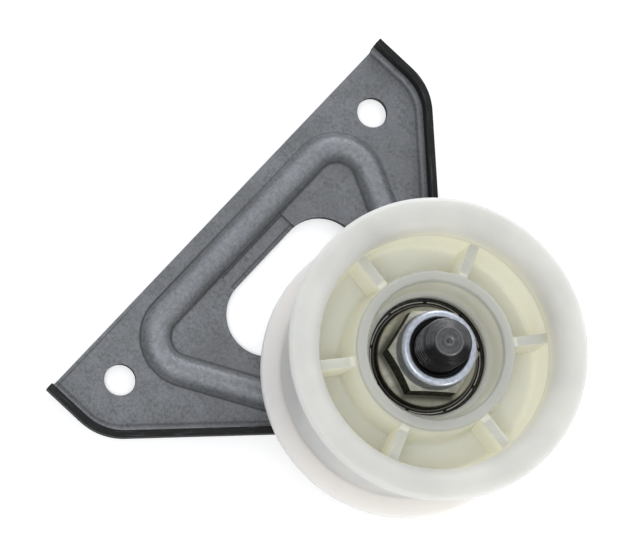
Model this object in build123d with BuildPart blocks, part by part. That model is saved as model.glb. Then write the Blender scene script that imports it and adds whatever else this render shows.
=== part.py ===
"""Belt idler pulley: a moulded wheel on a ball bearing, bolted to a pressed sheet bracket.

Millimetres. The bracket lies on its flat back in the plane Z = 0, and the wheel's axis is Z itself.
+X runs from the wheel to the bracket's long plain edge, and the two mounting holes lie along Y.
"""

import os
from math import cos, hypot, radians, sin, tan

from build123d import *

os.makedirs("parts", exist_ok=True)

# Bracket outline: a right-angled triangle with its two sharp corners cut off square
sheet = 1.5
edge_reach = 51.1
leg_angle = 45.0
apex_radius = 11.1
tip_corner_radius = 13.0

# Bracket flange, turned up along every edge but the long one
flange_height = 5.0
bend_inside_radius = 1.0
flange_end_overhang = 0.4
flange_end_slope = 1.0

# Mounting holes
hole_spacing = 80.0
hole_diameter = 6.6
hole_to_edge = 9.2
hole_to_tip = 12.3

# Cut-out: a smaller triangle with round corners
cutout_to_edge = 13.7
cutout_apex_reach = 7.75
cutout_corner_radius = 8.7

# Coined strip and rolled edge along the straight side of the cut-out
strip_width = 3.6
strip_length = 19.0
strip_depth = 0.3
rolled_edge_width = 0.9
rolled_edge_drop = 0.35

# Bead pressed up round the cut-out, and the round pad that it runs into at the axle
bead_height = 2.0
bead_half_width = 3.1
bead_flank_angle = 50.0
bead_foot_radius = 0.6
bead_crest_radius = 2.8
bead_to_edge = 6.5
bead_to_hole = 4.7
bead_leg_start = 12.3
bead_corner_radius = 7.3
bead_kink_radius = 15.0
pad_radius = 8.2
pad_junction_radius = 2.0

# Axle: a turned stud, riveted into the pad
thread_diameter = 9.9
thread_chamfer_height = 1.9
thread_chamfer_width = 2.25
seat_clearance = 0.02
tail_diameter = 8.0
rivet_head_diameter = 10.0
rivet_head_break = 0.5
collar_diameter = 12.0
collar_height = 2.0
stud_protrusion = 7.7
centre_mark_radius = 0.7
centre_mark_depth = 0.5

# Spacer sleeve between the axle's collar and the bearing
sleeve_length = 16.4
sleeve_diameter = 14.0
sleeve_bore_clearance = 0.1
sleeve_chamfer = 0.4

# Ball bearing
bearing_bore = 10.0
bearing_outside_diameter = 26.0
bearing_width = 8.0
ball_diameter = 4.7625
ball_count = 7
race_clearance = 0.06
inner_land_height = 2.4
outer_land_depth = 2.55
shield_seat_depth = 1.55
shield_seat_height = 1.2
ring_edge_radius = 0.3

# Bearing shields
shield_thickness = 0.3
shield_recess = 0.35
shield_gap = 0.3
shield_rim_width = 0.75
shield_rim_rise = 0.2
shield_clearance = 0.03
shield_edge_radius = 0.1
notch_count = 9
notch_width = 0.8
notch_depth = 0.5
notch_start_angle = 32.0

# Ball cage: two pressed halves, riveted together between the balls
cage_band_width = 1.8
cage_thickness = 0.4
pocket_clearance = 0.1
cage_rivet_radius = 0.4
cage_rivet_clearance = 0.02
cage_rivet_head_radius = 0.65
cage_rivet_head_height = 0.25

# Wheel: one moulding, alike on its two faces
wheel_width = 34.6
rim_radius = 30.0
rim_thickness = 2.2
rim_edge_radius = 0.9
rim_back_radius = 0.4
groove_depth = 4.1
flank_run = 0.9
tread_corner_radius = 1.0
tread_wall = 2.6
wall_draft_run = 0.3
mouth_edge_radius = 4.2
web_thickness = 2.4
web_fillet = 1.0
hub_half_width = 13.65
hub_wall = 2.9
hub_draft_run = 1.0
hub_mouth_run = 0.9
hub_edge_radius = 0.4
lip_reach = 1.0
lip_thickness = 2.4
lip_slope = 0.6
lip_edge_radius = 0.3
spoke_count = 6
spoke_thickness = 2.3
spoke_half_width = 11.5
spoke_draft = 1.0
spoke_start_angle = 50.5

# Flange lock nut
nut_across_flats = 16.0
nut_height = 12.5
nut_hex_height = 8.0
nut_flange_radius = 10.3
nut_flange_edge = 1.3
nut_flange_rise = 1.2
nut_flange_top_radius = 7.8
nut_flange_foot_break = 0.2
nut_flange_top_break = 0.4
nut_bore_clearance = 0.08
nut_bore_chamfer = 0.6
nut_turn_angle = 40.8
nut_chamfer_angle = 35.0
nut_chamfer_radius = 7.9
nut_collar_radius = 7.6
nut_collar_wall = 0.7
nut_opening_radius = 6.0
nut_roll_radius = 0.9
nut_lip_radius = 0.3
nut_collar_overlap = 1.0
insert_seat_height = 8.6
insert_height = 2.5
insert_bore_clearance = 0.03
insert_side_clearance = 0.02
insert_edge_radius = 0.4

# Heights above the bracket's back face
pad_front = sheet + bead_height
collar_front = pad_front + collar_height
bearing_rear = collar_front + sleeve_length
bearing_middle = bearing_rear + bearing_width / 2
bearing_front = bearing_rear + bearing_width
nut_hex_top = bearing_front + nut_hex_height
nut_top = bearing_front + nut_height
stud_end = nut_top + stud_protrusion
insert_seat = bearing_front + insert_seat_height
insert_top = insert_seat + insert_height

# Places on the bracket
tip_half_length = hole_spacing / 2 + hole_to_tip
flange_end = edge_reach + flange_end_overhang
hole_reach = edge_reach - hole_to_edge
cutout_reach = edge_reach - cutout_to_edge
bead_reach = edge_reach - bead_to_edge
bead_far_y = hole_spacing / 2 - bead_to_hole
bead_back_inset = sheet * tan(radians(bead_flank_angle) / 2)

# Radii of the bearing's pieces
bore_radius = bearing_bore / 2
outside_radius = bearing_outside_diameter / 2
pitch_radius = (bore_radius + outside_radius) / 2
ball_radius = ball_diameter / 2
race_radius = ball_radius + race_clearance
inner_land_radius = bore_radius + inner_land_height
outer_land_radius = outside_radius - outer_land_depth
shield_seat_radius = outside_radius - shield_seat_depth
half_bearing = bearing_width / 2
shield_seat_floor = half_bearing - shield_seat_height
pocket_radius = ball_radius + pocket_clearance
cage_inner_radius = pitch_radius - cage_band_width / 2
cage_outer_radius = pitch_radius + cage_band_width / 2
ball_step = 360 / ball_count

# Radii of the wheel
half_wheel = wheel_width / 2
tread_radius = rim_radius - groove_depth
wall_radius = tread_radius - tread_wall
hub_bore_radius = outside_radius + seat_clearance
lip_radius = outside_radius - lip_reach
hub_radius = hub_bore_radius + hub_wall
hub_base_radius = hub_radius + hub_draft_run
spoke_inner_end = hub_radius - hub_wall / 4
spoke_outer_end = wall_radius + tread_wall / 4

# Radii of the nut
nut_bore_radius = thread_diameter / 2 + nut_bore_clearance
nut_corner_radius = nut_across_flats / 2 / cos(radians(30))
nut_cup_radius = nut_collar_radius - nut_collar_wall


def rounded_loop(corners):
    """Closed line through corners given as x, y and the corner's own radius."""
    FilletPolyline(
        *[(x, y) for x, y, radius in corners],
        radius=[radius for x, y, radius in corners],
        close=True,
    )


def mirrored_in_x_axis(upper, apex):
    """Corners above the X axis, the apex on it, and the same corners below it."""
    lower = [(x, -y, radius) for x, y, radius in reversed(upper)]
    return upper + [apex] + lower


def mirrored_halves(front):
    """Corners of one half of a section, then the same corners on the other side of its middle."""
    rear = [(r, -height, radius) for r, height, radius in reversed(front)]
    return front + rear


def raised(corners, height):
    """The same corners, all lifted by one height."""
    return [(r, h + height, radius) for r, h, radius in corners]


def polar_place(distance, angle):
    """Point at a distance and angle about the axis."""
    return distance * cos(radians(angle)), distance * sin(radians(angle))


def bracket_corners(inset, long_edge):
    """Bracket's outline, moved inwards on all sides but the long edge."""
    half_length = tip_half_length - inset
    leg_distance = apex_radius - inset
    apex_x = -leg_distance / sin(radians(leg_angle))
    corner_x = apex_x + half_length / tan(radians(leg_angle))
    upper = [
        (long_edge, half_length, 0),
        (corner_x, half_length, tip_corner_radius - inset),
    ]
    return mirrored_in_x_axis(upper, (apex_x, 0, leg_distance))


def bead_corners():
    """Middle line of the bead. Near the axle it runs parallel to the bracket's edge, round the pad."""
    turn_radius = pad_radius - bead_half_width
    apex_x = -turn_radius / sin(radians(leg_angle))
    leg_slope = (bead_far_y - bead_leg_start) / bead_reach
    turn_slope = tan(radians(leg_angle))
    kink_x = (bead_leg_start + turn_slope * apex_x) / (turn_slope - leg_slope)
    kink_y = turn_slope * (kink_x - apex_x)
    upper = [
        (bead_reach, bead_far_y, bead_corner_radius),
        (kink_x, kink_y, bead_kink_radius),
    ]
    return mirrored_in_x_axis(upper, (apex_x, 0, turn_radius))


def cutout_corners():
    """Cut-out's outline."""
    half_length = (cutout_reach - cutout_apex_reach) * tan(radians(leg_angle))
    upper = [(cutout_reach, half_length, cutout_corner_radius)]
    return mirrored_in_x_axis(upper, (cutout_apex_reach, 0, cutout_corner_radius))


def level(shapes, height):
    """Those edges that lie in one level plane."""
    return shapes.filter_by_position(Axis.Z, height - 0.001, height + 0.001)


def beside_long_edge(edge):
    """True for an edge that lies clear of the bracket's long edge."""
    return edge.center().X < flange_end - 0.01


def along(area, edge):
    """True for an edge whose middle stands over the boundary of a flat area."""
    middle = edge @ 0.5
    foot = Vector(middle.X, middle.Y, 0)
    return min(wire.distance_to(foot) for wire in area.sketch.wires()) < 0.01


# Area of the bead and pad on the bracket's front, and its smaller area on the back
with BuildSketch(mode=Mode.PRIVATE) as bead_middle:
    with BuildLine():
        rounded_loop(bead_corners())
    make_face()
with BuildSketch(mode=Mode.PRIVATE) as bead_area:
    offset(bead_middle.sketch, amount=bead_half_width, kind=Kind.INTERSECTION)
    offset(
        bead_middle.sketch,
        amount=-bead_half_width,
        kind=Kind.INTERSECTION,
        mode=Mode.SUBTRACT,
    )
    Circle(pad_radius)
    pad_junctions = bead_area.vertices().filter_by(
        lambda v: v.X > 0 and abs(hypot(v.X, v.Y) - pad_radius) < 0.001
    )
    fillet(pad_junctions, pad_junction_radius)
with BuildSketch(mode=Mode.PRIVATE) as bead_back_area:
    offset(bead_area.sketch, amount=-bead_back_inset, kind=Kind.INTERSECTION)

# Bracket
with BuildPart() as bracket:
    with BuildSketch():
        with BuildLine():
            rounded_loop(bracket_corners(0, flange_end))
        make_face()
    extrude(amount=flange_height)
    fillet(level(bracket.edges(), 0).filter_by(beside_long_edge), bend_inside_radius + sheet)
    with BuildSketch(Plane.XY.offset(sheet)):
        with BuildLine():
            rounded_loop(bracket_corners(sheet, flange_end + sheet))
        make_face()
    extrude(amount=flange_height, mode=Mode.SUBTRACT)
    fillet(level(bracket.edges(), sheet).filter_by(beside_long_edge), bend_inside_radius)

    # The long edge is trimmed back between the ends of the flange
    trim_half_length = tip_half_length - sheet
    with BuildSketch():
        with BuildLine():
            Polyline(
                (edge_reach, trim_half_length - flange_end_slope),
                (flange_end, trim_half_length),
                (flange_end + sheet, trim_half_length),
                (flange_end + sheet, -trim_half_length),
                (flange_end, -trim_half_length),
                (edge_reach, flange_end_slope - trim_half_length),
                close=True,
            )
        make_face()
    extrude(amount=flange_height, mode=Mode.SUBTRACT)

    # Bead and pad, pressed up on the front
    with BuildSketch(Plane.XY.offset(sheet)):
        add(bead_area.sketch)
    extrude(amount=bead_height, taper=90 - bead_flank_angle)
    fillet(level(bracket.edges(), pad_front), bead_crest_radius)
    front_foot = level(bracket.edges(), sheet).filter_by(lambda e: along(bead_area, e))
    fillet(front_foot, bead_foot_radius)

    # The hollow behind them
    with BuildSketch():
        add(bead_back_area.sketch)
    extrude(amount=bead_height, taper=90 - bead_flank_angle, mode=Mode.SUBTRACT)
    fillet(level(bracket.edges(), bead_height), bead_crest_radius - sheet)
    back_foot = level(bracket.edges(), 0).filter_by(lambda e: along(bead_back_area, e))
    fillet(back_foot, bead_foot_radius + sheet)

    # Mounting holes
    with BuildSketch():
        with Locations((hole_reach, hole_spacing / 2), (hole_reach, -hole_spacing / 2)):
            Circle(hole_diameter / 2)
    extrude(amount=sheet, mode=Mode.SUBTRACT)

    # Hole for the axle's tail
    with BuildSketch():
        Circle(tail_diameter / 2)
    extrude(amount=pad_front, mode=Mode.SUBTRACT)

    # Cut-out, with its rolled straight edge and the coined strip beside it
    with BuildSketch():
        with BuildLine():
            rounded_loop(cutout_corners())
        make_face()
    extrude(amount=sheet, mode=Mode.SUBTRACT)
    with BuildSketch(Plane.XY.offset(sheet - strip_depth)):
        with Locations((cutout_reach + strip_width / 2, 0)):
            Rectangle(strip_width, strip_length)
    extrude(amount=strip_depth, mode=Mode.SUBTRACT)
    with BuildSketch(Plane.XZ):
        with BuildLine():
            Polyline(
                (cutout_reach - sheet, sheet),
                (cutout_reach - sheet, sheet - strip_depth - rolled_edge_drop),
                (cutout_reach, sheet - strip_depth - rolled_edge_drop),
                (cutout_reach + rolled_edge_width, sheet - strip_depth),
                (cutout_reach + rolled_edge_width, sheet),
                close=True,
            )
        make_face()
    extrude(amount=strip_length / 2, both=True, mode=Mode.SUBTRACT)

bracket.part.label = "bracket"
export_step(bracket.part, "parts/bracket.step")

# Axle: rivet head at the back, tail through the pad, collar, journal and thread
with BuildPart() as axle_stud:
    with BuildSketch(Plane.XZ):
        with BuildLine():
            rounded_loop(
                [
                    (0, 0, 0),
                    (rivet_head_diameter / 2, 0, rivet_head_break),
                    (rivet_head_diameter / 2, bead_height, 0),
                    (tail_diameter / 2, bead_height, 0),
                    (tail_diameter / 2, pad_front, 0),
                    (collar_diameter / 2, pad_front, 0),
                    (collar_diameter / 2, collar_front, 0),
                    (bore_radius - seat_clearance, collar_front, 0),
                    (bore_radius - seat_clearance, bearing_front, 0),
                    (thread_diameter / 2, bearing_front, 0),
                    (thread_diameter / 2, stud_end - thread_chamfer_height, 0),
                    (thread_diameter / 2 - thread_chamfer_width, stud_end, 0),
                    (centre_mark_radius, stud_end, 0),
                    (0, stud_end - centre_mark_depth, 0),
                ]
            )
        make_face()
    revolve(axis=Axis.Z)

axle_stud.part.label = "axle_stud"
export_step(axle_stud.part, "parts/axle_stud.step")

# Spacer sleeve
with BuildPart() as spacer_sleeve:
    with BuildSketch(Plane.XY.offset(collar_front)):
        Circle(sleeve_diameter / 2)
        Circle(bore_radius + sleeve_bore_clearance, mode=Mode.SUBTRACT)
    extrude(amount=sleeve_length)
    sleeve_ends = spacer_sleeve.edges().filter_by(GeomType.CIRCLE)
    chamfer(sleeve_ends.group_by(SortBy.RADIUS)[-1], sleeve_chamfer)

spacer_sleeve.part.label = "spacer_sleeve"
export_step(spacer_sleeve.part, "parts/spacer_sleeve.step")

# Wheel: rims, belt groove, web, hub with the lips that hold the bearing, and spokes
wheel_section = [
    (hub_bore_radius, half_bearing, 0),
    (lip_radius, half_bearing, 0),
    (lip_radius, half_bearing + lip_thickness, lip_edge_radius),
    (hub_bore_radius, half_bearing + lip_thickness + lip_slope, lip_edge_radius),
    (hub_bore_radius + hub_mouth_run, hub_half_width, hub_edge_radius),
    (hub_radius, hub_half_width, hub_edge_radius),
    (hub_base_radius, web_thickness / 2, web_fillet),
    (wall_radius, web_thickness / 2, web_fillet),
    (wall_radius + wall_draft_run, half_wheel, mouth_edge_radius),
    (rim_radius, half_wheel, rim_edge_radius),
    (rim_radius, half_wheel - rim_thickness, rim_back_radius),
    (tread_radius, half_wheel - rim_thickness - flank_run, tread_corner_radius),
]
with BuildPart() as pulley_wheel:
    with BuildSketch(Plane.XZ):
        with BuildLine():
            rounded_loop(raised(mirrored_halves(wheel_section), bearing_middle))
        make_face()
    revolve(axis=Axis.Z)
    spoke_length = spoke_outer_end - spoke_inner_end
    with BuildSketch(Plane.XY.offset(bearing_middle)):
        with PolarLocations(0, spoke_count, start_angle=spoke_start_angle):
            with Locations((spoke_inner_end + spoke_length / 2, 0)):
                Rectangle(spoke_length, spoke_thickness)
    extrude(amount=spoke_half_width, both=True, taper=spoke_draft)

pulley_wheel.part.label = "pulley_wheel"
export_step(pulley_wheel.part, "parts/pulley_wheel.step")

# Bearing's outer ring
outer_ring_section = [
    (outer_land_radius, shield_seat_floor, 0),
    (shield_seat_radius, shield_seat_floor, 0),
    (shield_seat_radius, half_bearing, 0),
    (outside_radius, half_bearing, ring_edge_radius),
]
with BuildPart() as bearing_outer_ring:
    with BuildSketch(Plane.XZ):
        with BuildLine():
            rounded_loop(raised(mirrored_halves(outer_ring_section), bearing_middle))
        make_face()
        with Locations((pitch_radius, bearing_middle)):
            Circle(race_radius, mode=Mode.SUBTRACT)
    revolve(axis=Axis.Z)

bearing_outer_ring.part.label = "bearing_outer_ring"
export_step(bearing_outer_ring.part, "parts/bearing_outer_ring.step")

# Bearing's inner ring
inner_ring_section = [
    (bore_radius, half_bearing, ring_edge_radius),
    (inner_land_radius, half_bearing, ring_edge_radius),
]
with BuildPart() as bearing_inner_ring:
    with BuildSketch(Plane.XZ):
        with BuildLine():
            rounded_loop(raised(mirrored_halves(inner_ring_section), bearing_middle))
        make_face()
        with Locations((pitch_radius, bearing_middle)):
            Circle(race_radius, mode=Mode.SUBTRACT)
    revolve(axis=Axis.Z)

bearing_inner_ring.part.label = "bearing_inner_ring"
export_step(bearing_inner_ring.part, "parts/bearing_inner_ring.step")

# Balls
for number in range(ball_count):
    with BuildPart() as bearing_ball:
        with Locations(Plane.XY.offset(bearing_middle)):
            with Locations(polar_place(pitch_radius, number * ball_step)):
                Sphere(ball_radius)
    bearing_ball.part.label = f"bearing_ball_{number + 1}"
    export_step(bearing_ball.part, f"parts/bearing_ball_{number + 1}.step")

# Front half of the cage: a flat band, bulged over each ball and drilled for the rivets
with BuildPart() as cage_half_front:
    with BuildSketch(Plane.XY.offset(bearing_middle)):
        Circle(cage_outer_radius)
        Circle(cage_inner_radius, mode=Mode.SUBTRACT)
    extrude(amount=cage_thickness)
    with BuildPart(mode=Mode.PRIVATE) as bulges:
        with BuildSketch(Plane.XY.offset(bearing_middle)):
            Circle(cage_outer_radius)
            Circle(cage_inner_radius, mode=Mode.SUBTRACT)
        extrude(amount=half_bearing)
        with Locations(Plane.XY.offset(bearing_middle)):
            with PolarLocations(pitch_radius, ball_count):
                Sphere(pocket_radius + cage_thickness, mode=Mode.INTERSECT)
    add(bulges.part)
    with Locations(Plane.XY.offset(bearing_middle)):
        with PolarLocations(pitch_radius, ball_count):
            Sphere(pocket_radius, mode=Mode.SUBTRACT)
        with PolarLocations(pitch_radius, ball_count, start_angle=ball_step / 2):
            Cylinder(cage_rivet_radius + cage_rivet_clearance, half_bearing, mode=Mode.SUBTRACT)

cage_half_front.part.label = "cage_half_front"
export_step(cage_half_front.part, "parts/cage_half_front.step")

# Rear half of the cage: the front half's mirror image
with BuildPart() as cage_half_rear:
    mirror(cage_half_front.part, about=Plane.XY.offset(bearing_middle))

cage_half_rear.part.label = "cage_half_rear"
export_step(cage_half_rear.part, "parts/cage_half_rear.step")

# Rivets of the cage, one between each two balls
with BuildPart() as cage_rivets:
    with Locations(Plane.XY.offset(bearing_middle)):
        with PolarLocations(pitch_radius, ball_count, start_angle=ball_step / 2):
            Cylinder(cage_rivet_radius, 2 * (cage_thickness + cage_rivet_head_height))
            for side in (1, -1):
                with Locations((0, 0, side * (cage_thickness + cage_rivet_head_height / 2))):
                    Cylinder(cage_rivet_head_radius, cage_rivet_head_height)

cage_rivets.part.label = "cage_rivets"
export_step(cage_rivets.part, "parts/cage_rivets.step")

# Front shield: a pressed annulus whose crimped rim sits in the outer ring
shield_outer_radius = shield_seat_radius - shield_clearance
shield_inner_radius = inner_land_radius + shield_gap
shield_rim_inner = shield_outer_radius - shield_rim_width
shield_top = half_bearing - shield_recess
shield_rim_top = shield_top + shield_rim_rise
with BuildPart() as front_shield:
    with BuildSketch(Plane.XZ):
        with BuildLine():
            rounded_loop(
                raised(
                    [
                        (shield_inner_radius, shield_top - shield_thickness, 0),
                        (shield_rim_inner, shield_top - shield_thickness, 0),
                        (shield_rim_inner, shield_seat_floor, 0),
                        (shield_outer_radius, shield_seat_floor, 0),
                        (shield_outer_radius, shield_rim_top, shield_edge_radius),
                        (shield_rim_inner, shield_rim_top, shield_edge_radius),
                        (shield_rim_inner, shield_top, 0),
                        (shield_inner_radius, shield_top, 0),
                    ],
                    bearing_middle,
                )
            )
        make_face()
    revolve(axis=Axis.Z)
    with BuildSketch(Plane.XY.offset(bearing_middle + shield_rim_top)):
        with PolarLocations(shield_outer_radius, notch_count, start_angle=notch_start_angle):
            Rectangle(2 * notch_depth, notch_width)
    extrude(amount=-2 * shield_rim_rise, mode=Mode.SUBTRACT)

front_shield.part.label = "front_shield"
export_step(front_shield.part, "parts/front_shield.step")

# Rear shield: the front shield's mirror image
with BuildPart() as rear_shield:
    mirror(front_shield.part, about=Plane.XY.offset(bearing_middle))

rear_shield.part.label = "rear_shield"
export_step(rear_shield.part, "parts/rear_shield.step")

# Flange nut: a turned body with the flange, bore and rolled collar, and the hexagon
chamfer_run = nut_corner_radius - nut_chamfer_radius
chamfer_foot = nut_hex_top - chamfer_run * tan(radians(nut_chamfer_angle))
with BuildPart() as flange_nut:
    with BuildSketch(Plane.XY.offset(bearing_front)):
        RegularPolygon(nut_across_flats / 2, 6, major_radius=False, rotation=nut_turn_angle)
    extrude(amount=nut_hex_height)
    with BuildSketch(Plane.XZ):
        with BuildLine():
            Polyline(
                (0, bearing_front),
                (nut_corner_radius, bearing_front),
                (nut_corner_radius, chamfer_foot),
                (nut_chamfer_radius, nut_hex_top),
                (0, nut_hex_top),
                close=True,
            )
        make_face()
    revolve(axis=Axis.Z, mode=Mode.INTERSECT)
    with BuildSketch(Plane.XZ):
        with BuildLine():
            rounded_loop(
                [
                    (0, bearing_front, 0),
                    (nut_flange_radius, bearing_front, nut_flange_foot_break),
                    (nut_flange_radius, bearing_front + nut_flange_edge, nut_flange_top_break),
                    (nut_flange_top_radius, bearing_front + nut_flange_edge + nut_flange_rise, 0),
                    (nut_cup_radius, nut_hex_top - nut_collar_overlap, 0),
                    (nut_collar_radius, nut_hex_top - nut_collar_overlap, 0),
                    (nut_collar_radius, nut_top, nut_roll_radius),
                    (nut_opening_radius, nut_top, nut_lip_radius),
                    (nut_opening_radius, nut_top - nut_collar_wall, 0),
                    (0, nut_top - nut_collar_wall, 0),
                ]
            )
        make_face()
    revolve(axis=Axis.Z)
    with BuildSketch(Plane.XZ):
        with BuildLine():
            Polyline(
                (0, bearing_front),
                (nut_bore_radius + nut_bore_chamfer, bearing_front),
                (nut_bore_radius, bearing_front + nut_bore_chamfer),
                (nut_bore_radius, insert_seat),
                (nut_cup_radius, insert_seat),
                (nut_cup_radius, nut_top - nut_roll_radius),
                (nut_opening_radius, nut_top - nut_collar_wall),
                (nut_opening_radius, nut_top),
                (0, nut_top),
                close=True,
            )
        make_face()
    revolve(axis=Axis.Z, mode=Mode.SUBTRACT)

flange_nut.part.label = "flange_nut"
export_step(flange_nut.part, "parts/flange_nut.step")

# Locking ring in the nut's collar
insert_bore_radius = thread_diameter / 2 + insert_bore_clearance
insert_outer_radius = nut_cup_radius - insert_side_clearance
with BuildPart() as nut_locking_ring:
    with BuildSketch(Plane.XZ):
        with BuildLine():
            rounded_loop(
                [
                    (insert_bore_radius, insert_seat, 0),
                    (insert_outer_radius, insert_seat, 0),
                    (insert_outer_radius, insert_top, insert_edge_radius),
                    (insert_bore_radius, insert_top, insert_edge_radius),
                ]
            )
        make_face()
    revolve(axis=Axis.Z)

nut_locking_ring.part.label = "nut_locking_ring"
export_step(nut_locking_ring.part, "parts/nut_locking_ring.step")
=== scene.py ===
"""Belt idler pulley: looks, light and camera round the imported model.

Lengths are in millimetres, but for the floor and the lamps, which are in metres.
"""

from math import cos, radians, sin, tau

import bpy
from mathutils import Matrix, Vector


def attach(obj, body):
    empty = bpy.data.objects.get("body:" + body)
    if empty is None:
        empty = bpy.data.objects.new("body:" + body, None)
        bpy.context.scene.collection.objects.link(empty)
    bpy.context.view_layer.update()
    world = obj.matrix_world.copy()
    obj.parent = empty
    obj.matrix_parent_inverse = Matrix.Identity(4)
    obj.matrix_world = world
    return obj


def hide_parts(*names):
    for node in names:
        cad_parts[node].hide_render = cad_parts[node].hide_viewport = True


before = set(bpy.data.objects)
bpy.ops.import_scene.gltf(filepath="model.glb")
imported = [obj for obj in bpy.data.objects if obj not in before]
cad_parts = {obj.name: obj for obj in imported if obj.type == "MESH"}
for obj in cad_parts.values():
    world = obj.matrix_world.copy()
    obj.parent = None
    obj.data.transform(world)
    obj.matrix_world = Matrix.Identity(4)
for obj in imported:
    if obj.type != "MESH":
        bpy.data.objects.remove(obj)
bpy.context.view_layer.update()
scene = bpy.context.scene
MM = 0.001

# Wheel and bearing, as in the solids
TREAD_RADIUS = 25.9
WALL_RADIUS = 23.3
HUB_RADIUS = 16.9
LIP_RADIUS = 12.0
SPOKE_HALF_WIDTH = 11.5
REAR_RIM_FRONT = 10.8
BEARING_MIDDLE = 25.9
BEARING_FRONT = 29.9
HALF_BEARING = 4.0
SHIELD_RIM_RADIUS = 10.7

# Nut, as in the solids
NUT_FLAT_RADIUS = 8.0
NUT_FLAT_TURNS = (10.8, 70.8, 130.8)
NUT_FLANGE_RADIUS = 10.3
NUT_COLLAR_RADIUS = 7.6
NUT_CUP_RADIUS = 6.9
NUT_HEX_TOP = 37.9
NUT_TOP = 42.4

# Bracket, as in the solids: its outline, bead, cut-out and coined strip
SHEET = 1.5
EDGE_REACH = 51.1
TIP_REACH = 52.3
TIP_CORNER = 13.0
APEX_RADIUS = 11.1
BEND_WIDTH = 2.5
BEAD_REACH = 44.6
BEAD_START = 12.3
BEAD_SLOPE = 0.5157
BEAD_CORNER = 7.3
BEAD_HALF_WIDTH = 3.1
CUTOUT_REACH = 37.4
ROLLED_EDGE_WIDTH = 0.9
STRIP_WIDTH = 3.6
STRIP_HALF_LENGTH = 9.5

# Stud, as in the solids, and the steps that round its edges
RIVET_RADIUS = 5.0
RIVET_EDGE = 0.5
TAIL_RADIUS = 4.0
PAD_BACK = 2.0
PAD_FRONT = 3.5
COLLAR_RADIUS = 6.0
COLLAR_FRONT = 5.5
JOURNAL_RADIUS = 4.98
CREST_RADIUS = 4.95
THREAD_TOP = 48.2
END_RADIUS = 2.7
STUD_END = 50.1
CENTRE_MARK_RADIUS = 0.7
CENTRE_MARK_DEPTH = 0.47
CENTRE_MARK_FLOOR = 0.08
CENTRE_MARK_LIP = 0.03
EDGE_STEP = 0.15

# Thread, which only this script cuts
PITCH = 1.5
THREAD_DEPTH = 0.85
THREAD_START = BEARING_FRONT + 10.0
CREST_SHARE = 0.12
FLANK_SHARE = 0.70
TURN_STEPS = 120
STEPS_A_PITCH = 12
TAPER_STEPS = 10
SHARP_ANGLE = 28


class Nodes:
    """A node tree being built. Sockets and plain values can both be given as inputs."""

    def __init__(self, owner, output):
        owner.use_nodes = True
        self.tree = owner.node_tree
        self.tree.nodes.clear()
        self.surface = self.add(output).inputs["Surface"]

    def add(self, kind):
        """Adds a node."""
        return self.tree.nodes.new("ShaderNode" + kind)

    def put(self, socket, value):
        """Links a socket, or sets its value."""
        if isinstance(value, bpy.types.NodeSocket):
            self.tree.links.new(value, socket)
        elif socket.type == "RGBA":
            socket.default_value = (*value, 1)
        else:
            socket.default_value = value

    def fill(self, node, inputs):
        """Fills in a node's inputs, given by name or by number, and gives back its outputs."""
        for key, value in inputs.items():
            self.put(node.inputs[key], value)
        return node.outputs

    def vector(self, operation, first, second=(0, 0, 0)):
        """Works out one sum of vectors."""
        node = self.add("VectorMath")
        node.operation = operation
        outputs = self.fill(node, {0: first, 1: second})
        return outputs["Value" if operation in ("LENGTH", "DOT_PRODUCT") else "Vector"]

    def math(self, operation, first, second=0.0):
        """Works out one sum of numbers."""
        node = self.add("Math")
        node.operation = operation
        return self.fill(node, {0: first, 1: second})[0]

    def mix(self, amount, first, second):
        """Goes from the first colour to the second as the amount goes from nothing to one."""
        node = self.add("Mix")
        node.data_type = "RGBA"
        return self.fill(node, {"Factor": amount, 6: first, 7: second})[2]

    def either(self, choice, first, second):
        """Goes from the first shader to the second as the choice goes from nothing to one."""
        return self.fill(self.add("MixShader"), {0: choice, 1: first, 2: second})[0]


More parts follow.
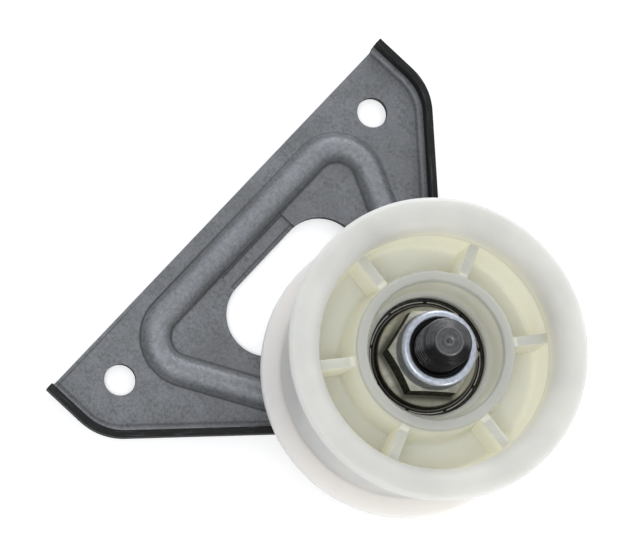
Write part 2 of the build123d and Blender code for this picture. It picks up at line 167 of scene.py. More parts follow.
class Shader(Nodes):
    """A material being built, with places on the object in millimetres."""

    def __init__(self, name):
        self.material = bpy.data.materials.new(name)
        super().__init__(self.material, "OutputMaterial")
        coordinates = self.add("TexCoord").outputs
        self.place = self.vector("MULTIPLY", coordinates["Object"], (1 / MM, 1 / MM, 1 / MM))
        self.x, self.y, self.z = self.split(self.place)
        self.facing = coordinates["Normal"]

    def split(self, value):
        """Gives the three parts of a vector."""
        return self.fill(self.add("SeparateXYZ"), {0: value})

    def combine(self, x, y, z):
        """Makes a vector of three parts."""
        return self.fill(self.add("CombineXYZ"), {0: x, 1: y, 2: z})[0]

    def total(self, *terms):
        """Adds up pairs of a factor and a value."""
        sum_so_far = 0.0
        for factor, value in terms:
            sum_so_far = self.math("ADD", sum_so_far, self.math("MULTIPLY", value, factor))
        return sum_so_far

    def product(self, first, *others):
        """Multiplies all the values."""
        for other in others:
            first = self.math("MULTIPLY", first, other)
        return first

    def most(self, first, *others):
        """Gives the largest of the values."""
        for other in others:
            first = self.math("MAXIMUM", first, other)
        return first

    def rest(self, share):
        """What a share leaves of one."""
        return self.math("SUBTRACT", 1.0, share)

    def apart(self, value, middle):
        """Distance of a value from a middle, on either side."""
        return self.math("ABSOLUTE", self.math("SUBTRACT", value, middle))

    def noise(self, scale, detail=3.0, roughness=0.5, place=None):
        """Cloudy values from nothing to one, finer for a larger scale."""
        at = self.place if place is None else place
        inputs = {"Vector": at, "Scale": scale, "Detail": detail, "Roughness": roughness}
        return self.fill(self.add("TexNoise"), inputs)["Fac"]

    def cells(self, scale):
        """A random shade for each cell of a crystal pattern."""
        shades = self.fill(self.add("TexVoronoi"), {"Vector": self.place, "Scale": scale})
        return self.fill(self.add("SeparateColor"), {0: shades["Color"]})[0]

    def fade(self, value, start, end, low=0.0, high=1.0):
        """Runs smoothly from low at start to high at end, and stays level beyond them."""
        if start > end:
            start, end, low, high = end, start, high, low
        node = self.add("MapRange")
        node.interpolation_type = "SMOOTHSTEP"
        inputs = {
            "Value": value,
            "From Min": start,
            "From Max": end,
            "To Min": low,
            "To Max": high,
        }
        return self.fill(node, inputs)[0]

    def line(self, value, middle, half_width):
        """One at the middle, and nothing beyond the half width."""
        return self.fade(self.apart(value, middle), half_width, 0.0)

    def band(self, value, start, end, edge):
        """One between start and end, with a soft edge at both."""
        after_start = self.fade(value, start - edge, start + edge)
        before_end = self.fade(value, end + edge, end - edge)
        return self.product(after_start, before_end)

    def coat(self, color, coating, share, strength=1.0):
        """Lays a coating over a colour: its share says where, and its strength how much."""
        return self.mix(self.product(share, strength), color, coating)

    def bump(self, height, distance):
        """Unevenness of the surface, where a height of one stands for the distance."""
        return self.fill(self.add("Bump"), {"Height": height, "Distance": distance * MM})[0]

    def radius(self):
        """Distance from the wheel's axis."""
        return self.vector("LENGTH", self.vector("MULTIPLY", self.place, (1, 1, 0)))

    def depth(self):
        """Distance from the wheel's middle plane, alike on its two faces."""
        return self.apart(self.z, BEARING_MIDDLE)

    def toward(self, x, y):
        """One on the side of the axle that a level direction points to, and minus one opposite."""
        return self.math("DIVIDE", self.total((x, self.x), (y, self.y)), self.radius())

    def hexagon(self):
        """Distance from the wheel's axis, measured square to the nut's nearest flat."""
        pairs = []
        for turn in NUT_FLAT_TURNS:
            across = self.total((cos(radians(turn)), self.x), (sin(radians(turn)), self.y))
            pairs.append(self.math("ABSOLUTE", across))
        return self.most(*pairs)

    def steepness(self):
        """Nothing on a level face, and one on an upright wall."""
        return self.rest(self.math("ABSOLUTE", self.split(self.facing)[2]))

    def rings(self, pitch):
        """Waves in rings round the wheel's axis."""
        return self.math("SINE", self.math("MULTIPLY", self.radius(), tau / pitch))

    def finish(self, color, **settings):
        """Adds the surface, and gives the material back."""
        inputs = {"Base Color": color}
        for name, value in settings.items():
            inputs[name.replace("_", " ").title().replace("Ior", "IOR")] = value
        self.put(self.surface, self.fill(self.add("BsdfPrincipled"), inputs)[0])
        return self.material


def rounded_offset(m, side, first, second, centre, along_first, along_second, radius):
    """Distance from a line with one rounded corner, less than nothing inside it.

    It takes the distances from the line's two straight parts, the middle of the arc
    between them, and the direction along each part towards the corner.
    """
    off_x = m.math("SUBTRACT", m.x, centre[0])
    off_y = m.math("SUBTRACT", side, centre[1])
    from_arc = m.math("SUBTRACT", m.math("SQRT", m.total((off_x, off_x), (off_y, off_y))), radius)
    past_first = m.math("GREATER_THAN", m.total((along_first[0], off_x), (along_first[1], off_y)))
    past_second = m.math("GREATER_THAN", m.total((along_second[0], off_x), (along_second[1], off_y)))
    in_corner = m.product(past_first, past_second)
    return m.total((m.rest(in_corner), m.most(first, second)), (in_corner, from_arc))


def bead_offset(m, side):
    """Distance from the middle line of the bracket's bead."""
    length = (1 + BEAD_SLOPE**2) ** 0.5
    along_leg = (1 / length, BEAD_SLOPE / length)
    from_long_side = m.math("SUBTRACT", m.x, BEAD_REACH)
    from_leg = m.total((along_leg[0], side), (-along_leg[1], m.x), (-BEAD_START / length, 1.0))
    centre_x = BEAD_REACH - BEAD_CORNER
    centre_y = BEAD_START + BEAD_SLOPE * centre_x - BEAD_CORNER * length
    centre = (centre_x, centre_y)
    return rounded_offset(m, side, from_long_side, from_leg, centre, (0, 1), along_leg, BEAD_CORNER)


def outline_offset(m, side):
    """Distance from the bracket's outline on its flanged sides."""
    slant = 0.5**0.5
    from_tip = m.math("SUBTRACT", side, TIP_REACH)
    from_leg = m.total((slant, side), (-slant, m.x), (-APEX_RADIUS, 1.0))
    centre_y = TIP_REACH - TIP_CORNER
    centre_x = centre_y + (TIP_CORNER - APEX_RADIUS) / slant
    centre = (centre_x, centre_y)
    return rounded_offset(m, side, from_tip, from_leg, centre, (-1, 0), (slant, slant), TIP_CORNER)


def galvanised():
    """Dull grey sheet with faint crystals and specks. Painted shade darkens its sheared walls, its
    flanges and the creases at its bead and bends, and painted highlights lighten its bead's crest and its
    bends.
    """
    dark_grain = (0.114, 0.118, 0.124)
    light_grain = (0.222, 0.232, 0.248)
    crystal = (0.23, 0.24, 0.262)
    dull_cloud = (0.110, 0.112, 0.114)
    dark_speck = (0.050, 0.051, 0.053)
    light_speck = (0.25, 0.262, 0.28)
    dark_crest_highlight = (0.27, 0.287, 0.315)
    light_crest_highlight = (0.365, 0.385, 0.415)
    crease_shade_and_line = (0.030, 0.030, 0.032)
    dark_line = (0.035, 0.035, 0.037)
    bright_line = (0.24, 0.25, 0.27)
    shade_black = (0.003, 0.003, 0.003)
    shade_streak = (0.070, 0.072, 0.076)
    shade_patch = (0.005, 0.005, 0.005)
    m = Shader("galvanised_sheet")
    side = m.math("ABSOLUTE", m.y)
    grain = m.noise(1.3, 5.0, 0.7)
    specks = m.noise(7.0, 2.0, 0.7)
    cloud = m.noise(0.07, 2.0)
    color = m.mix(m.fade(grain, 0.3, 0.7), dark_grain, light_grain)
    color = m.coat(color, crystal, m.fade(m.cells(0.45), 0.2, 1.0), 0.45)
    color = m.coat(color, dull_cloud, m.fade(cloud, 0.35, 0.65), 0.40)
    color = m.coat(color, dark_speck, m.fade(specks, 0.55, 0.72), 0.6)
    color = m.coat(color, light_speck, m.fade(specks, 0.46, 0.32), 0.5)

    # Painted highlight on the bead's crest, and painted shade in the creases at its feet
    bead = bead_offset(m, side)
    beyond_axle = m.fade(m.x, 3.0, 6.0)
    front = m.band(m.z, SHEET - 0.9, SHEET + 2.3, 0.2)
    crest = m.product(m.fade(m.math("ABSOLUTE", bead), 2.7, 1.2), beyond_axle, front)
    crest_highlight = m.mix(m.fade(grain, 0.35, 0.65), dark_crest_highlight, light_crest_highlight)
    color = m.coat(color, crest_highlight, crest, 0.40)
    outer_crease = m.line(bead, BEAD_HALF_WIDTH + 0.15, 0.4)
    outer_foot = m.product(outer_crease, m.fade(m.y, -20.0, 25.0, 0.45, 0.9))
    inner_foot = m.product(m.line(bead, -BEAD_HALF_WIDTH - 0.1, 0.55), 0.75)
    foot = m.product(m.most(outer_foot, inner_foot), beyond_axle, front)
    color = m.coat(color, crease_shade_and_line, foot)

    # Painted shade: dark lines round the coined strip beside the cut-out, along its sides and across one
    # end
    strip_edge = CUTOUT_REACH + STRIP_WIDTH
    along_strip = m.fade(side, STRIP_HALF_LENGTH + 0.15, STRIP_HALF_LENGTH - 0.15)
    far_line = m.line(m.x, strip_edge, 0.3)
    rolled_line = m.product(m.line(m.x, CUTOUT_REACH + ROLLED_EDGE_WIDTH, 0.3), 0.8)
    beside_strip = m.product(along_strip, m.most(far_line, rolled_line))
    across_strip = m.band(m.x, CUTOUT_REACH, strip_edge, 0.1)
    strip_end = m.product(m.line(m.y, -STRIP_HALF_LENGTH, 0.25), across_strip, 0.42)
    color = m.coat(color, dark_line, m.product(m.most(beside_strip, strip_end), front), 0.8)

    # Painted shade in a line before the bend, a painted highlight on the bend, and a dark line beside the
    # long edge
    edge = outline_offset(m, side)
    low_down = m.fade(m.z, SHEET + 0.6, SHEET + 0.1)
    before_bend = m.product(m.line(edge, -BEND_WIDTH - 0.45, 0.45), low_down, front)
    color = m.coat(color, dark_line, before_bend, 0.5)
    on_bend = m.product(m.line(edge, -BEND_WIDTH + 0.2, 0.35), front)
    color = m.coat(color, bright_line, on_bend, 0.45)
    by_long_edge = m.product(m.line(m.x, EDGE_REACH - 0.75, 0.3), m.fade(m.y, 20.0, 32.0), front)
    color = m.coat(color, crease_shade_and_line, by_long_edge, 0.55)

    # Painted shade on the sheared walls of the holes and edges and on the flange: near black, with
    # lighter streaks along its length and darker patches
    stretched = m.combine(
        m.product(m.x, 0.18),
        m.product(m.y, 0.18),
        m.total((4.5, edge), (2.5, m.z)),
    )
    streak = m.noise(1.0, 4.0, 0.7, stretched)
    patch = m.noise(0.35, 3.0, 0.6)
    wall_shade = m.mix(m.fade(streak, 0.55, 0.66), shade_black, shade_streak)
    wall_shade = m.coat(wall_shade, shade_patch, m.fade(patch, 0.35, 0.7), 0.6)
    steep = m.fade(m.steepness(), 0.80, 0.97)
    color = m.coat(color, wall_shade, steep, 0.9)
    up_flange = m.fade(m.z, SHEET + 0.4, SHEET + 1.4)
    shaded_flange = m.product(up_flange, m.fade(edge, -BEND_WIDTH - 0.1, -BEND_WIDTH + 0.5))
    color = m.coat(color, wall_shade, shaded_flange, 0.97)

    rough = m.most(m.fade(grain, 0.3, 0.7, 0.58, 0.46), m.product(m.most(shaded_flange, steep), 0.8))
    grit = m.total((0.7, m.noise(2.8, 3.0)), (0.3, m.cells(0.9)))
    return m.finish(color, metallic=0.3, roughness=rough, normal=m.bump(grit, 0.06))


def nylon():
    """Natural nylon that lets light through: off-white and cloudy. Painted light makes it much lighter
    and yellower deep in the recess and lighter and warmer on the rear rim; painted shade makes the hub's
    end and the spokes' tops greyer.
    """
    dull_white = (0.54, 0.543, 0.53)
    clear_white = (0.60, 0.60, 0.58)
    lit_cream = (0.985, 0.955, 0.79)
    shaded_hub_grey = (0.43, 0.435, 0.405)
    shaded_spoke_grey = (0.48, 0.49, 0.465)
    lit_warm_white = (0.82, 0.755, 0.70)
    scuff = (0.68, 0.67, 0.62)
    lip_dark_ring = (0.012, 0.011, 0.009)
    m = Shader("natural_nylon")
    depth = m.depth()
    far = m.radius()
    color = m.mix(m.fade(m.noise(0.08, 2.0), 0.3, 0.7), dull_white, clear_white)

    # The recess painted much lighter and yellower, painted light; the hub's end and the spokes' tops
    # painted greyer, painted shade
    inside_wall = m.fade(far, TREAD_RADIUS - 0.7, WALL_RADIUS + 0.3)
    color = m.coat(color, lit_cream, m.product(m.fade(depth, 15.5, 9.0), inside_wall))
    inside_hub = m.fade(far, HUB_RADIUS + 0.6, HUB_RADIUS - 0.3)
    color = m.coat(color, shaded_hub_grey, m.product(inside_hub, m.fade(depth, 11.8, 13.2)))
    spoke_level = m.band(depth, SPOKE_HALF_WIDTH - 0.25, SPOKE_HALF_WIDTH + 0.7, 0.1)
    between = m.product(m.rest(inside_hub), m.fade(far, WALL_RADIUS + 0.7, WALL_RADIUS - 0.3))
    color = m.coat(color, shaded_spoke_grey, m.product(spoke_level, between), 0.9)

    # The rear rim painted lighter and warmer, painted light; marks of wear all over; and a dark ring on
    # the lip beside the bearing
    rear_level = m.fade(m.z, REAR_RIM_FRONT + 2.8, REAR_RIM_FRONT + 0.8)
    beyond_tread = m.fade(far, TREAD_RADIUS - 0.2, TREAD_RADIUS + 0.7)
    color = m.coat(color, lit_warm_white, m.product(rear_level, beyond_tread))
    marks = m.fade(m.noise(0.5, 4.0, 0.7), 0.62, 0.8)
    color = m.coat(color, scuff, marks, 0.25)
    bearing_level = m.fade(depth, HALF_BEARING + 0.75, HALF_BEARING + 0.25)
    inside_lip = m.fade(far, LIP_RADIUS + 0.6, LIP_RADIUS + 0.2)
    color = m.coat(color, lip_dark_ring, m.product(bearing_level, inside_lip), 0.95)
    ripple = m.total((0.6, m.noise(0.9, 3.0)), (0.15, m.noise(5.0, 2.0)))
    return m.finish(
        color,
        roughness=0.5,
        subsurface_weight=1.0,
        subsurface_radius=(1.0, 0.95, 0.80),
        subsurface_scale=8.0 * MM,
        ior=1.45,
        normal=m.bump(ripple, 0.03),
    )


def steel(name, dark, light, roughness, ring_pitch=None, metallic=0.9):
    """Steel with a cloudy shade between two colours, and turned rings where their pitch is given."""
    m = Shader(name)
    shade = m.noise(0.8, 4.0, 0.6)
    if ring_pitch:
        unevenness = m.bump(m.rings(ring_pitch), 0.012)
    else:
        unevenness = m.bump(m.noise(3.0, 2.0), 0.01)
    color = m.mix(m.fade(shade, 0.3, 0.7), dark, light)
    return m.finish(color, metallic=metallic, roughness=roughness, normal=unevenness)


def stud_steel():
    """Dark steel with turned rings on the end, painted highlights round its edge and on the thread's
    crests, and black painted shade down one side and in the thread's roots.
    """
    dark_shade = (0.050, 0.050, 0.052)
    light_shade = (0.095, 0.095, 0.099)
    ring_grey = (0.14, 0.14, 0.145)
    shade_black = (0.006, 0.006, 0.006)
    root_shade = (0.008, 0.008, 0.008)
    highlight_steel = (0.26, 0.26, 0.27)
    m = Shader("stud_steel")
    far = m.radius()
    cone = m.fade(m.z, THREAD_TOP - 0.05, THREAD_TOP + 0.05)
    thread = m.rest(cone)
    shade = m.noise(0.9, 4.0, 0.65)
    color = m.mix(m.fade(shade, 0.3, 0.7), dark_shade, light_shade)
    turned = m.noise(1.0, 2.0, 0.5, m.combine(m.product(far, 5.0), m.product(m.z, 5.0), 0.0))
    color = m.coat(color, ring_grey, m.fade(turned, 0.35, 0.65), 0.6)

    # Painted shade down one side and in the thread's roots, and painted highlights on the crests away
    # from that side
    low_side = m.toward(-0.68, 0.73)
    shaded_stud_side = m.product(m.fade(low_side, -0.05, 0.45), m.fade(far, END_RADIUS + 0.1, END_RADIUS + 0.4))
    color = m.coat(color, shade_black, shaded_stud_side, 0.93)
    root = m.product(m.fade(far, CREST_RADIUS - 0.15, CREST_RADIUS - 0.7), thread)
    color = m.coat(color, root_shade, root, 0.8)
    lit_side = m.product(m.fade(shade, 0.40, 0.55), m.fade(low_side, 0.9, 0.6))
    crest = m.product(m.fade(far, CREST_RADIUS - 0.12, CREST_RADIUS), thread, lit_side)
    color = m.coat(color, highlight_steel, crest, 0.55)

    # Painted highlights on the edge of the end and on the ring round its centre mark
    near_end = m.fade(m.z, STUD_END - 0.4, STUD_END - 0.1)
    end_edge_highlight = m.product(m.line(far, END_RADIUS, 0.17), near_end, 0.5)
    on_end = m.fade(m.z, STUD_END - 0.05, STUD_END - 0.01)
    mark_highlight = m.product(m.line(far, CENTRE_MARK_RADIUS + 0.05, 0.2), on_end, 0.35)
    color = m.coat(color, highlight_steel, m.most(end_edge_highlight, mark_highlight))

    grooves = m.total((0.8, m.product(m.rings(0.42), cone)), (0.5, m.noise(2.5, 3.0)))
    return m.finish(
        color,
        metallic=0.75,
        roughness=m.fade(shade, 0.3, 0.7, 0.50, 0.38),
        specular_tint=(0.5, 0.5, 0.5),
        normal=m.bump(grooves, 0.02),
    )


def zinc():
    """Bright zinc on the rolled collar. The hexagon and the flange are duller and warmer, and stained.
    Painted shade darkens the hexagon's flats and foot, one side of the flange, and the collar's wall and
    inside.
    """
    dark_zinc = (0.34, 0.335, 0.285)
    light_zinc = (0.50, 0.495, 0.43)
    flange_zinc = (0.66, 0.64, 0.56)
    stain = (0.24, 0.23, 0.185)
    shade_black = (0.014, 0.014, 0.011)
    streaked_shade = (0.10, 0.098, 0.082)
    foot_shade = (0.030, 0.029, 0.023)
    flange_side_shade = (0.075, 0.072, 0.056)
    rim_dark = (0.045, 0.042, 0.032)
    dark_collar = (0.43, 0.46, 0.52)
    light_collar = (0.56, 0.60, 0.67)
    collar_wall_shade = (0.20, 0.212, 0.235)
    seam_dark = (0.05, 0.05, 0.052)
    cup_shade = (0.01, 0.01, 0.01)
    m = Shader("zinc_plate")
    far = m.radius()
    steepness = m.steepness()
    shade = m.noise(0.7, 4.0, 0.6)
    color = m.mix(m.fade(shade, 0.3, 0.7), dark_zinc, light_zinc)
    flange = m.fade(m.z, BEARING_FRONT + 3.0, BEARING_FRONT + 2.6)
    color = m.coat(color, flange_zinc, flange, 0.6)
    color = m.coat(color, stain, m.fade(m.noise(0.45, 4.0, 0.65), 0.52, 0.72), 0.5)

    # Painted shade on the sides of the hexagon: near black, with lighter streaks
    beyond_collar = m.fade(far, NUT_COLLAR_RADIUS + 0.1, NUT_COLLAR_RADIUS + 0.3)
    hex_level = m.band(m.z, BEARING_FRONT + 1.6, NUT_HEX_TOP - 0.1, 0.2)
    flats = m.product(m.fade(steepness, 0.5, 0.85), beyond_collar, hex_level)
    scratch = m.noise(1.0, 3.0, 0.6, m.vector("MULTIPLY", m.place, (2.5, 2.5, 0.25)))
    flat_shade = m.mix(m.fade(scratch, 0.4, 0.65), shade_black, streaked_shade)
    color = m.coat(color, flat_shade, flats, 0.95)

    # Painted shade at the hexagon's foot and over one side of the flange, and a dark band round the
    # flange's rim
    toward_shade = m.toward(0.04, 1.0)
    below_top = m.fade(m.z, NUT_HEX_TOP - 1.0, NUT_HEX_TOP - 2.0)
    on_flange = m.product(below_top, m.fade(steepness, 0.85, 0.6))
    near_flats = m.fade(m.hexagon(), NUT_FLAT_RADIUS + 1.6, NUT_FLAT_RADIUS + 0.3)
    foot = m.product(near_flats, on_flange, m.fade(toward_shade, -0.6, 0.5, 0.25, 0.9))
    color = m.coat(color, foot_shade, foot)
    shaded_flange_side = m.product(m.fade(toward_shade, 0.1, 0.95), on_flange)
    color = m.coat(color, flange_side_shade, shaded_flange_side, 0.5)
    at_rim = m.fade(far, NUT_FLANGE_RADIUS - 0.55, NUT_FLANGE_RADIUS - 0.1)
    rim = m.product(at_rim, m.fade(m.z, BEARING_FRONT + 1.7, BEARING_FRONT + 1.2))
    color = m.coat(color, rim_dark, rim, 0.8)

    # Collar, bright on its rolled top, with painted shade down its wall and black painted shade inside
    # it, and a dark line at its foot
    above_hexagon = m.fade(m.z, NUT_HEX_TOP + 0.05, NUT_HEX_TOP + 0.35)
    collar = m.product(above_hexagon, m.fade(far, NUT_COLLAR_RADIUS + 0.35, NUT_COLLAR_RADIUS + 0.15))
    bright = m.mix(m.fade(m.noise(1.5, 3.0), 0.3, 0.7), dark_collar, light_collar)
    at_wall = m.fade(far, NUT_COLLAR_RADIUS - 0.4, NUT_COLLAR_RADIUS - 0.1)
    wall = m.product(at_wall, m.fade(m.z, NUT_TOP - 0.5, NUT_TOP - 1.1))
    color = m.coat(color, m.coat(bright, collar_wall_shade, wall, 0.75), collar)
    in_cup = m.fade(far, NUT_CUP_RADIUS, NUT_CUP_RADIUS - 0.3)
    color = m.coat(color, cup_shade, m.product(in_cup, m.fade(m.z, NUT_TOP - 0.35, NUT_TOP - 0.6)))
    at_foot = m.line(m.z, NUT_HEX_TOP + 0.05, 0.4)
    seam = m.product(m.line(far, NUT_COLLAR_RADIUS + 0.1, 0.25), at_foot)
    color = m.coat(color, seam_dark, seam, 0.7)

    pits = m.total((0.6, m.noise(2.2, 3.0)), (0.4, m.noise(9.0, 1.0)))
    return m.finish(
        color,
        metallic=0.9,
        roughness=m.fade(shade, 0.3, 0.7, 0.50, 0.40),
        specular_tint=(0.6, 0.6, 0.6),
        normal=m.bump(pits, 0.02),
    )


def shield_steel():
    """Dark shield in brown oil, with two painted highlights along its rim."""
    dark_brown = (0.012, 0.011, 0.009)
    light_brown = (0.034, 0.032, 0.027)
    inner_highlight = (0.40, 0.385, 0.335)
    outer_highlight = (0.62, 0.60, 0.54)
    m = Shader("shield_steel")
    far = m.radius()
    color = m.mix(m.fade(m.noise(0.8, 4.0, 0.6), 0.3, 0.7), dark_brown, light_brown)
    on_rim = m.fade(m.depth(), HALF_BEARING - 0.45, HALF_BEARING - 0.30)
    # Painted highlights: two bright lines along the rim
    for radius, highlight in ((SHIELD_RIM_RADIUS, inner_highlight), (SHIELD_RIM_RADIUS + 0.6, outer_highlight)):
        color = m.coat(color, highlight, m.product(m.line(far, radius, 0.17), on_rim), 0.95)
    return m.finish(
        color,
        metallic=0.6,
        roughness=0.42,
        specular_tint=(0.3, 0.3, 0.28),
        specular_ior_level=0.25,
        normal=m.bump(m.noise(2.5, 3.0), 0.02),
    )


def bearing_steel():
    """Ground ring, bright inside and dark brown on its faces."""
    dark_steel = (0.33, 0.33, 0.33)
    light_steel = (0.45, 0.45, 0.45)
    dark_brown = (0.010, 0.009, 0.007)
    light_brown = (0.040, 0.038, 0.030)
    m = Shader("bearing_steel")
    shade = m.noise(0.8, 4.0, 0.6)
    color = m.mix(m.fade(shade, 0.3, 0.7), dark_steel, light_steel)
    dark_face = m.mix(m.fade(shade, 0.35, 0.65), dark_brown, light_brown)
    color = m.coat(color, dark_face, m.fade(m.depth(), HALF_BEARING - 0.5, HALF_BEARING - 0.2), 0.95)
    return m.finish(
        color,
        metallic=0.85,
        roughness=0.34,
        specular_tint=(0.5, 0.5, 0.5),
        normal=m.bump(m.rings(0.3), 0.006),
    )


def black_plastic():
    """Near-black nylon of the nut's locking ring."""
    dark = (0.004, 0.004, 0.005)
    light = (0.010, 0.010, 0.012)
    m = Shader("black_nylon")
    return m.finish(
        m.mix(m.noise(1.0), dark, light),
        roughness=0.55,
        specular_ior_level=0.15,
        normal=m.bump(m.noise(2.0), 0.02),
    )


ring_metal = bearing_steel()
shield_metal = shield_steel()
stud_metal = stud_steel()
ball_metal = steel("ball_steel", (0.62, 0.62, 0.63), (0.70, 0.70, 0.71), 0.12, metallic=1.0)
cage_metal = steel("cage_steel", (0.36, 0.34, 0.31), (0.46, 0.44, 0.40), 0.35)

looks = {
    "bracket": galvanised(),
    "axle_stud": stud_metal,
    "spacer_sleeve": steel("turned_steel", (0.42, 0.43, 0.44), (0.52, 0.53, 0.54), 0.32, ring_pitch=0.5),
    "pulley_wheel": nylon(),
    "bearing_outer_ring": ring_metal,
    "bearing_inner_ring": ring_metal,
    "cage_half_front": cage_metal,
    "cage_half_rear": cage_metal,
    "cage_rivets": cage_metal,
    "front_shield": shield_metal,
    "rear_shield": shield_metal,
    "flange_nut": zinc(),
    "nut_locking_ring": black_plastic(),
}
for name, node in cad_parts.items():
    node.data.materials.clear()
    node.data.materials.append(looks.get(name, ball_metal))


# Stud with its thread cut, in place of the plain solid
def thread_cut(height, turn):
    """Depth of the thread at a height, where turn is the share of a full turn."""
    phase = (height / PITCH - turn) % 1.0
    from_crest = abs(phase - 0.5) * 2
    wave = min(max((from_crest - CREST_SHARE) / FLANK_SHARE, 0.0), 1.0)
    fade_in = min(max((height - THREAD_START) / PITCH, 0.0), 1.0)
    return THREAD_DEPTH * wave * fade_in


def stud_rows():
    """Radius and height of each ring of points, and True where the thread is cut into it."""
    rows = [
        (RIVET_RADIUS - RIVET_EDGE, 0.0, False),
        (RIVET_RADIUS - EDGE_STEP, EDGE_STEP, False),
        (RIVET_RADIUS, RIVET_EDGE, False),
        (RIVET_RADIUS, PAD_BACK, False),
        (TAIL_RADIUS, PAD_BACK, False),
        (TAIL_RADIUS, PAD_FRONT, False),
        (COLLAR_RADIUS, PAD_FRONT, False),
        (COLLAR_RADIUS, COLLAR_FRONT, False),
        (JOURNAL_RADIUS, COLLAR_FRONT, False),
        (JOURNAL_RADIUS, BEARING_FRONT, False),
        (CREST_RADIUS, BEARING_FRONT, False),
    ]
    thread_length = THREAD_TOP - THREAD_START
    thread_steps = round(thread_length / PITCH * STEPS_A_PITCH)
    for step in range(thread_steps + 1):
        rows.append((CREST_RADIUS, THREAD_START + thread_length * step / thread_steps, True))
    for step in range(1, TAPER_STEPS + 1):
        share = step / TAPER_STEPS
        radius = CREST_RADIUS + (END_RADIUS - CREST_RADIUS) * share
        rows.append((radius, THREAD_TOP + (STUD_END - THREAD_TOP) * share, True))
    rows += [
        (END_RADIUS - EDGE_STEP, STUD_END, False),
        (CENTRE_MARK_RADIUS + EDGE_STEP, STUD_END, False),
        (CENTRE_MARK_RADIUS, STUD_END - CENTRE_MARK_LIP, False),
        (CENTRE_MARK_FLOOR, STUD_END - CENTRE_MARK_DEPTH, False),
    ]
    return rows


def stud_mesh():
    """Closed mesh through all the rings of points."""
    points = []
    faces = []
    rows = stud_rows()
    for radius, height, cut in rows:
        for step in range(TURN_STEPS):
            turn = step / TURN_STEPS
            far = radius
            if cut:
                far = min(radius, CREST_RADIUS - thread_cut(height, turn))
            points.append((far * cos(tau * turn) * MM, far * sin(tau * turn) * MM, height * MM))
    for ring in range(len(rows) - 1):
        for step in range(TURN_STEPS):
            following = (step + 1) % TURN_STEPS
            a = ring * TURN_STEPS + step
            b = ring * TURN_STEPS + following
            faces.append((a, b, b + TURN_STEPS, a + TURN_STEPS))
    faces.append(tuple(reversed(range(TURN_STEPS))))
    last = (len(rows) - 1) * TURN_STEPS
    faces.append(tuple(range(last, last + TURN_STEPS)))
    mesh = bpy.data.meshes.new("threaded_stud")
    mesh.from_pydata(points, [], faces)
    mesh.validate()
    return mesh


stud = bpy.data.objects.new("threaded_stud", stud_mesh())
scene.collection.objects.link(stud)
stud.data.materials.append(stud_metal)
for face in stud.data.polygons:
    face.use_smooth = True
stud.data.set_sharp_from_angle(angle=radians(SHARP_ANGLE))
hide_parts("axle_stud")
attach(stud, "frame")

# Floor: it takes shadows, and glows a little where it is seen, so that it stays white
FLOOR_SIZE = 8.0
FLOOR_HEIGHT = -0.0003
FLOOR_GLOW = 0.40
floor_look = Shader("floor")
light_path = floor_look.add("LightPath").outputs
seen = floor_look.most(
    light_path["Is Camera Ray"],
    light_path["Is Glossy Ray"],
    light_path["Is Transmission Ray"],
)
floor_color = floor_look.mix(floor_look.noise(0.01), (0.80, 0.80, 0.80), (0.82, 0.82, 0.82))
matt = floor_look.fill(floor_look.add("BsdfDiffuse"), {"Color": floor_color})[0]
glow = floor_look.fill(floor_look.add("Emission"), {"Strength": FLOOR_GLOW})[0]
no_glow = floor_look.fill(floor_look.add("Emission"), {"Strength": 0.0})[0]
chosen_glow = floor_look.either(seen, no_glow, glow)
both = floor_look.fill(floor_look.add("AddShader"), {0: matt, 1: chosen_glow})[0]
floor_look.put(floor_look.surface, both)
bpy.ops.mesh.primitive_plane_add(size=FLOOR_SIZE, location=(0, 0, FLOOR_HEIGHT))
ground = bpy.context.object
ground.name = "floor"
ground.data.materials.append(floor_look.material)

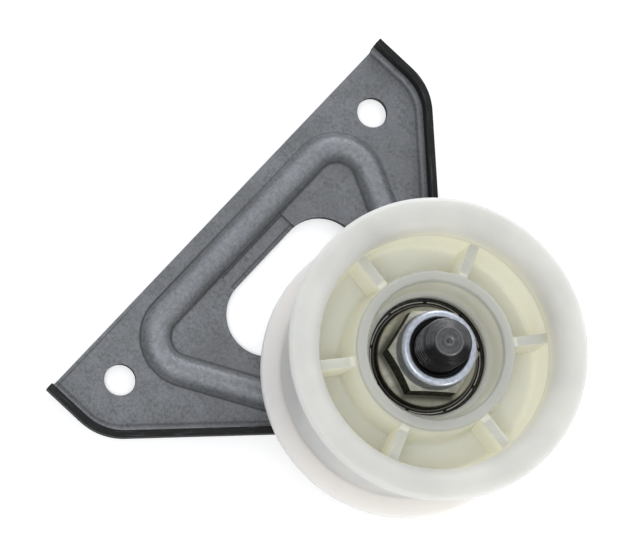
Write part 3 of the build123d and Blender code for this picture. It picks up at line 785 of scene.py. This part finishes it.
# World: light from all round, stronger from above and from the photo's right, and white where it is seen
BRIGHT_SIDE = (-0.36, -0.46, 0.81)
SKY_COLOR = (0.94, 0.96, 0.98)
DIM_STRENGTH = 0.24
BRIGHT_STRENGTH = 0.93
world = bpy.data.worlds.new("studio")
scene.world = world
sky = Nodes(world, "OutputWorld")
looking = sky.add("TexCoord").outputs["Generated"]
spread = {
    "Value": sky.vector("DOT_PRODUCT", looking, BRIGHT_SIDE),
    "From Min": -1.0,
    "From Max": 1.0,
    "To Min": DIM_STRENGTH,
    "To Max": BRIGHT_STRENGTH,
}
strength = sky.fill(sky.add("MapRange"), spread)[0]
lit = sky.fill(sky.add("Background"), {"Color": SKY_COLOR, "Strength": strength})[0]
white = sky.fill(sky.add("Background"), {"Color": (1, 1, 1)})[0]
sky.put(sky.surface, sky.either(sky.add("LightPath").outputs["Is Camera Ray"], lit, white))


# Lamps: above the object and a little to the photo's lower left, at its top, and low at its lower right
MIDDLE = Vector((0.015, 0.0, 0.02))
COOL = (0.97, 0.98, 1.0)
WARM = (1.0, 0.96, 0.92)


def lamp(name, place, size, power, color):
    """A square lamp that points at the middle of the object."""
    data = bpy.data.lights.new(name, "AREA")
    data.size = size
    data.energy = power
    data.color = color
    holder = bpy.data.objects.new(name, data)
    scene.collection.objects.link(holder)
    holder.location = place
    holder.rotation_mode = "QUATERNION"
    holder.rotation_quaternion = (MIDDLE - Vector(place)).to_track_quat("-Z", "Y")


lamp("key", (0.06, 0.38, 0.90), 0.3, 2.3, COOL)
lamp("top", (0.45, -0.75, 0.30), 0.6, 3.6, COOL)
lamp("low", (-0.84, 0.26, 0.14), 0.25, 2.6, WARM)

# Camera, as the photo was taken
camera_data = bpy.data.cameras.new("camera")
camera_data.sensor_width = 36.0
camera_data.lens = 150.5545
camera_data.clip_end = 20.0
camera = bpy.data.objects.new("camera", camera_data)
scene.collection.objects.link(camera)
right = Vector((-0.7307151952783865, -0.65547459705708, 0.19080973770258067))
down = Vector((-0.6826292637046915, 0.7050266483489879, -0.19223608779774695))
forward = Vector((-0.00852007765574228, -0.2707221411902817, -0.962619826591001))
spot = Vector((32.196, 145.206, 536.205)) * MM
turn = Matrix((right, -down, -forward)).transposed().to_4x4()
camera.matrix_world = Matrix.Translation(spot) @ turn
scene.camera = camera

scene.view_settings.view_transform = "Standard"
